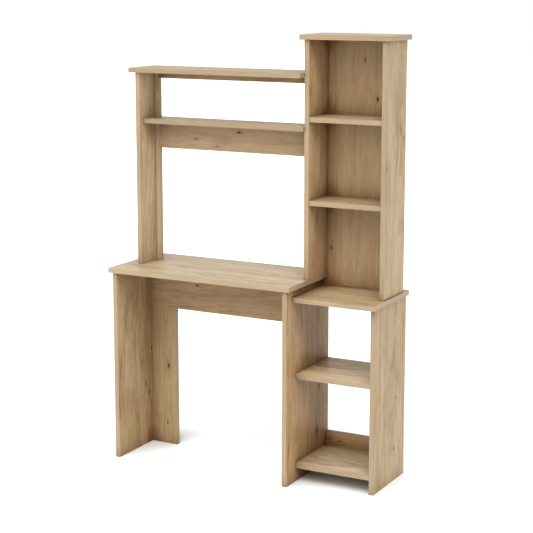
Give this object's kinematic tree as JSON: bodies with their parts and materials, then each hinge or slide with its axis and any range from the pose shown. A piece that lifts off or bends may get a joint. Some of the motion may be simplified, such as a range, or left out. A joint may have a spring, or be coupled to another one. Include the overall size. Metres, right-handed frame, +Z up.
{
  "type": "computer desk with hutch and shelf tower",
  "caption": "Panel-leg writing desk in light oak board, with an open hutch over it, a tall shelf tower at its right and an open two-shelf cabinet under the tower.",
  "frame": {"origin": "middle of the base of the bounding box, on the floor", "axes": "+X to the right as the user sees it, from the desk towards the tower; +Y from the front towards the wall; +Z up"},
  "size_m": [1.092, 0.368, 1.64],
  "materials": {
    "oak_board": "matt light oak foil on board, with banded edges",
    "cam_zinc": "cast zinc, dull",
    "bolt_steel": "plated steel, satin",
    "dowel_beech": "plain turned beech"
  },
  "bodies": {
    "root": {"desktop": "oak_board", "desk_left_side": "oak_board", "desk_left_rear_leg": "oak_board", "modesty_rail": "oak_board", "cabinet_left_side": "oak_board", "cabinet_right_side": "oak_board", "cabinet_shelf": "oak_board", "cabinet_bottom_shelf": "oak_board", "cabinet_back_rail": "oak_board", "mid_board": "oak_board", "hutch_left_side": "oak_board", "hutch_rear_stile": "oak_board", "hutch_top_board": "oak_board", "hutch_top_rail": "oak_board", "hutch_shelf": "oak_board", "hutch_shelf_rail": "oak_board", "tower_left_side": "oak_board", "tower_right_side": "oak_board", "tower_top_board": "oak_board", "tower_shelf_upper": "oak_board", "tower_shelf_lower": "oak_board", "tower_back_panel": "oak_board", "cam_hutch_shelf_left": "cam_zinc", "cam_hutch_shelf_right": "cam_zinc", "cam_tower_shelf_upper_left": "cam_zinc", "cam_tower_shelf_upper_right": "cam_zinc", "cam_tower_shelf_lower_left": "cam_zinc", "cam_tower_shelf_lower_right": "cam_zinc", "cam_cabinet_shelf_left": "cam_zinc", "cam_cabinet_shelf_right": "cam_zinc", "cam_cabinet_bottom_shelf_left": "cam_zinc", "cam_cabinet_bottom_shelf_right": "cam_zinc", "cam_mid_board": "cam_zinc", "cam_modesty_rail_left": "cam_zinc", "cam_modesty_rail_right": "cam_zinc", "cam_bolt_hutch_shelf_left": "bolt_steel", "cam_bolt_hutch_shelf_right": "bolt_steel", "cam_bolt_tower_shelf_upper_left": "bolt_steel", "cam_bolt_tower_shelf_upper_right": "bolt_steel", "cam_bolt_tower_shelf_lower_left": "bolt_steel", "cam_bolt_tower_shelf_lower_right": "bolt_steel", "cam_bolt_cabinet_shelf_left": "bolt_steel", "cam_bolt_cabinet_shelf_right": "bolt_steel", "cam_bolt_cabinet_bottom_shelf_left": "bolt_steel", "cam_bolt_cabinet_bottom_shelf_right": "bolt_steel", "cam_bolt_mid_board": "bolt_steel", "cam_bolt_modesty_rail_left": "bolt_steel", "cam_bolt_modesty_rail_right": "bolt_steel", "dowel_desktop_left_front": "dowel_beech", "dowel_desktop_left_back": "dowel_beech", "dowel_desktop_right_front": "dowel_beech", "dowel_desktop_right_back": "dowel_beech", "dowel_mid_board": "dowel_beech", "dowel_rear_leg": "dowel_beech", "dowel_hutch_foot": "dowel_beech", "dowel_hutch_top": "dowel_beech", "dowel_tower_left_foot": "dowel_beech", "dowel_tower_right_foot": "dowel_beech", "dowel_tower_top_left": "dowel_beech", "dowel_tower_top_right": "dowel_beech"}
  },
  "joints": []
}
